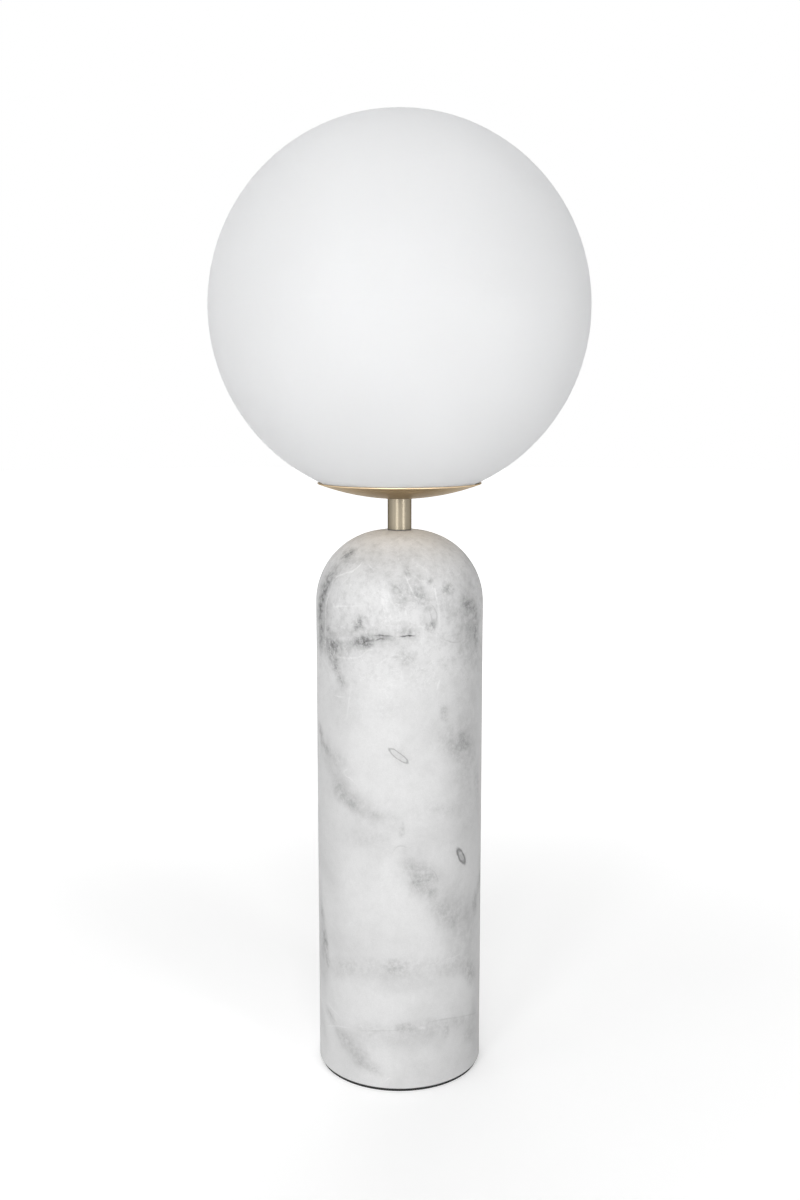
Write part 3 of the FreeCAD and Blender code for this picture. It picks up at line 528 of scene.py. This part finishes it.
def marble():
    """Honed marble: pale ground, grey clouds, the photograph's stains and veins, and a fine grain, with
    painted shade down the column's sides and painted light under the neck.
    """
    shader = Shader("marble")
    place = shader.position()
    flat = unrolled_nodes(shader, place)
    depth, high = shader.node("ShaderNodeSeparateXYZ", None, Vector=place).outputs[1:]
    behind = shader.ramp(depth, *BACK_FADE)

    soft = warped(shader, place, flat, SOFT_WARP)
    mottle = shader.pattern(place, *MOTTLE)
    marks = shader.math("MULTIPLY", stains(shader, soft, STAINS, STAIN_SPREAD), mottle)
    ripple = shader.pattern(place, *RIPPLE)
    marks = shader.math("MULTIPLY_ADD", stains(shader, soft, CLOUDS_AND_PAINTED_LIGHT_AND_SHADE, 1.0), ripple, marks)
    crisp = warped(shader, place, flat, CRISP_WARP)
    marks = eyelets(shader, crisp, marks)
    marks = veins(shader, crisp, marks)
    front = shader.math("SUBTRACT", 1.0, behind)
    marks = shader.math("MULTIPLY", marks, front)

    patches = shader.math("MULTIPLY", shader.pattern(place, *PATCHES), mottle)
    shown = shader.math("MAXIMUM", behind, shader.ramp(high, *PATCHES_FADE, 0.0, PATCHES_IN_FRONT))
    marks = shader.math("MULTIPLY_ADD", patches, shown, marks)
    web = shader.math("SUBTRACT", shader.noise(place, *THREADS_NOISE), 0.5)
    threads = shader.ramp(shader.math("ABSOLUTE", web), *THREADS_STEP)
    flecks = shader.math("ADD", shader.pattern(place, *SPECKLE), threads)
    flecks = shader.math("MULTIPLY", flecks, shader.ramp(high, *FLECKS_FADE, FLECKS_BELOW, 1.0))
    for more in (shader.pattern(place, *HAZE), flecks, shader.pattern(place, *GRAIN)):
        marks = shader.math("ADD", marks, more)

    level = shader.math("MULTIPLY_ADD", marks, -MARBLE_GROUND, MARBLE_GROUND, clamp=True)
    colour = shader.node("ShaderNodeCombineColor", None, Red=level, Green=level, Blue=level)
    shader.bump(shader.noise(place, 700.0, 3.0, 0.6), 0.00003, 0.4)
    rough = shader.ramp(marks, 0.0, 0.5, *MARBLE_ROUGHNESS)
    return shader.surface(Base_Color=colour.outputs[0], Roughness=rough, Specular_IOR_Level=0.15)


def satin_brass(name, low, high, edge, brushed_along_z, lacquer):
    """Champagne brass from one near colour to another, with the colour of its edges and its lacquer."""
    shader = Shader(name)
    place = shader.position()
    scale = (900.0, 900.0, 20.0) if brushed_along_z else (60.0, 60.0, 2600.0)
    lines = shader.noise(shader.stretch(place, scale), 1.0, 2.0)
    tarnish = shader.noise(place, 40.0, 3.0)
    colour = shader.colours(tarnish, low, high)
    rough = shader.ramp(lines, *NOISE_RANGE, *BRASS_ROUGHNESS)
    shader.bump(lines, 0.000004, 0.5)
    return shader.surface(Base_Color=colour, Metallic=1.0, Roughness=rough, Specular_Tint=(*edge, 1.0),
                          Coat_Weight=lacquer, Coat_Roughness=0.2)


def moulded(name, low, high, rough, grain=900.0, depth=0.00004, metallic=0.0):
    """A moulded, pressed or plated surface: two near colours in soft clouds over a fine grain."""
    shader = Shader(name)
    place = shader.position()
    cloud = shader.noise(place, 60.0, 3.0)
    colour = shader.colours(cloud, low, high)
    fine = shader.noise(place, grain, 2.0)
    shader.bump(fine, depth, 0.5)
    roughness = shader.ramp(fine, *NOISE_RANGE, rough - ROUGH_SPREAD, rough + ROUGH_SPREAD)
    return shader.surface(Base_Color=colour, Roughness=roughness, Metallic=metallic)


def dress(material, *names):
    """Gives CAD nodes their material."""
    for name in names:
        for slot in NODES[name].material_slots:
            slot.material = material


def dress_lamp():
    """A finish for every node."""
    dress(opal_glass(), "globe")
    dress(marble(), "marble_column")
    dress(satin_brass("dish_brass", *DISH_BRASS), "dish")
    # The neck's brass is painted darker and greyer than the dish's: painted shade
    dress(satin_brass("neck_brass_painted_shade", *NECK_BRASS_PAINTED_SHADE), "neck_tube")
    dress(moulded("pad_foam", grey(0.010), grey(0.018), 0.85, 1500.0, 0.0002), "foot_pad")
    dress(moulded("black_plastic", grey(0.025), grey(0.035), 0.5), "inlet_bush")
    dress(moulded("gasket", grey(0.05), grey(0.07), 0.6), "neck_gasket")
    steel = moulded("zinc_steel", (0.55, 0.56, 0.57), (0.66, 0.67, 0.68), 0.35, metallic=1.0)
    dress(steel, "base_washer", "base_lock_washer", "base_nut", "threaded_tube",
          "dish_lock_washer", "dish_nut", "clip_plate", "clip_rivets")
    spring = moulded("spring_steel", (0.36, 0.36, 0.38), (0.45, 0.45, 0.47), 0.3, metallic=1.0)
    dress(spring, "spring_clip_1", "spring_clip_2", "spring_clip_3")
    dress(moulded("silicone", grey(0.6), grey(0.66), 0.45), "glass_seat_ring")
    holder = moulded("white_thermoplastic", (0.78, 0.78, 0.76), (0.82, 0.82, 0.80), 0.45)
    dress(holder, "holder_cap", "holder_skirt")
    dress(moulded("ceramic", (0.78, 0.77, 0.73), (0.84, 0.83, 0.79), 0.6), "holder_core")
    contacts = moulded("plain_brass", (0.66, 0.5, 0.24), (0.74, 0.58, 0.3), 0.3, metallic=1.0)
    dress(contacts, "screw_shell", "terminal_screws", "centre_contact", "bulb_contact")
    dress(moulded("dark_glass", grey(0.015), grey(0.025), 0.15), "bulb_insulator")
    dress(moulded("nickel", (0.62, 0.61, 0.58), (0.7, 0.69, 0.66), 0.22, metallic=1.0), "bulb_cap")
    dress(moulded("milky_plastic", grey(0.84), grey(0.88), 0.35), "bulb_body", "bulb_dome")
    dress(moulded("board_white", (0.8, 0.81, 0.8), (0.84, 0.85, 0.84), 0.4), "led_board")


def around(azimuth, distance, height):
    """A place around the lamp: degrees to the right of the camera's side, and metres."""
    angle = math.radians(azimuth)
    return Vector((distance * math.sin(angle), -distance * math.cos(angle), height))


def area_light(name, place, size, power):
    """A soft rectangular lamp that shines at the object."""
    data = bpy.data.lights.new(name, "AREA")
    data.shape = "RECTANGLE"
    data.size, data.size_y = size
    data.energy = power
    lamp = bpy.data.objects.new(name, data)
    lamp.location = place
    lamp.rotation_euler = (LIGHT_AIM - Vector(place)).to_track_quat("-Z", "Y").to_euler()
    lamp.visible_camera = False
    lamp.visible_glossy = place.y < 0
    bpy.context.scene.collection.objects.link(lamp)


def seen_or_mirrored(tree):
    """1 on rays from the camera, or that a mirror or clear glass sends on."""
    path = tree.nodes.new("ShaderNodeLightPath")
    total = path.outputs["Is Camera Ray"]
    for name in ("Is Glossy Ray", "Is Transmission Ray"):
        node = tree.nodes.new("ShaderNodeMath")
        node.operation = "MAXIMUM"
        tree.links.new(total, node.inputs[0])
        tree.links.new(path.outputs[name], node.inputs[1])
        total = node.outputs[0]
    clear = tree.nodes.new("ShaderNodeMath")
    clear.operation = "SUBTRACT"
    clear.use_clamp = True
    tree.links.new(total, clear.inputs[0])
    tree.links.new(path.outputs["Is Diffuse Ray"], clear.inputs[1])
    return clear.outputs[0]


def across_world(tree, direction, low, high):
    """A level that goes smoothly from low to high along one axis of the world."""
    node = tree.nodes.new("ShaderNodeMapRange")
    node.interpolation_type = "SMOOTHSTEP"
    for key, number in zip(STEP_INPUTS, (*SURROUND_FADE, low, high)):
        node.inputs[key].default_value = number
    tree.links.new(direction, node.inputs["Value"])
    return node.outputs["Result"]


def world_light():
    """White where it is seen or mirrored. The light that it gives has a level for each side."""
    world = bpy.data.worlds.new("surround")
    bpy.context.scene.world = world
    world.use_nodes = True
    tree = world.node_tree
    background = tree.nodes["Background"]
    background.inputs["Color"].default_value = (1, 1, 1, 1)
    way = tree.nodes.new("ShaderNodeSeparateXYZ")
    tree.links.new(tree.nodes.new("ShaderNodeTexCoord").outputs["Generated"], way.inputs["Vector"])
    light = across_world(tree, way.outputs["X"], SURROUND_LEFT, SURROUND_RIGHT)
    strength = tree.nodes.new("ShaderNodeMapRange")
    strength.inputs["To Max"].default_value = WHITE
    tree.links.new(light, strength.inputs["To Min"])
    tree.links.new(seen_or_mirrored(tree), strength.inputs["Value"])
    tree.links.new(strength.outputs["Result"], background.inputs["Strength"])


def floor_material():
    """White floor that keeps a soft shadow: a plain surface, topped up to white where it is seen."""
    shader = Shader("floor")
    shader.surface(Base_Color=(*grey(FLOOR_GREY), 1.0), Roughness=0.9, Specular_IOR_Level=0.1)
    away = shader.node("ShaderNodeVectorMath", {"operation": "LENGTH"}, i0=shader.position())
    lift = shader.ramp(away.outputs["Value"], *FLOOR_FADE, FLOOR_LIFT_NEAR, FLOOR_LIFT_FAR)
    lift = shader.math("MULTIPLY", seen_or_mirrored(shader.tree), lift)
    glow = shader.node("ShaderNodeEmission", None, Color=(1, 1, 1, 1), Strength=lift)
    both = shader.node("ShaderNodeAddShader", None, i0=shader.principled.outputs[0],
                       i1=glow.outputs[0])
    shader.feed(shader.output.inputs["Surface"], both.outputs[0])
    return shader.material


def floor():
    """A round floor, far wider than the view."""
    mesh = bpy.data.meshes.new("floor")
    angles = [math.tau * i / FLOOR_CORNERS for i in range(FLOOR_CORNERS)]
    rim = [(FLOOR_RADIUS * math.cos(angle), FLOOR_RADIUS * math.sin(angle), 0) for angle in angles]
    mesh.from_pydata(rim, [], [list(range(FLOOR_CORNERS))])
    mesh.materials.append(floor_material())
    plane = bpy.data.objects.new("floor", mesh)
    bpy.context.scene.collection.objects.link(plane)


def camera():
    """The photograph's camera."""
    data = bpy.data.cameras.new("camera")
    data.sensor_width = SENSOR_MM
    data.lens = FOCAL_PX / IMAGE_HEIGHT_PX * SENSOR_MM
    view = bpy.data.objects.new("camera", data)
    view.location = CAMERA_PLACE
    view.rotation_euler = (math.radians(90 - CAMERA_PITCH), 0, 0)
    bpy.context.scene.collection.objects.link(view)
    bpy.context.scene.camera = view


def studio():
    """Lights, surround, floor and camera."""
    for name, (azimuth, distance, height, *size, power) in LIGHTS.items():
        area_light(name, around(azimuth, distance, height), size, power)
    world_light()
    floor()
    camera()
    bpy.context.scene.view_settings.view_transform = "Standard"


dress_lamp()
studio()
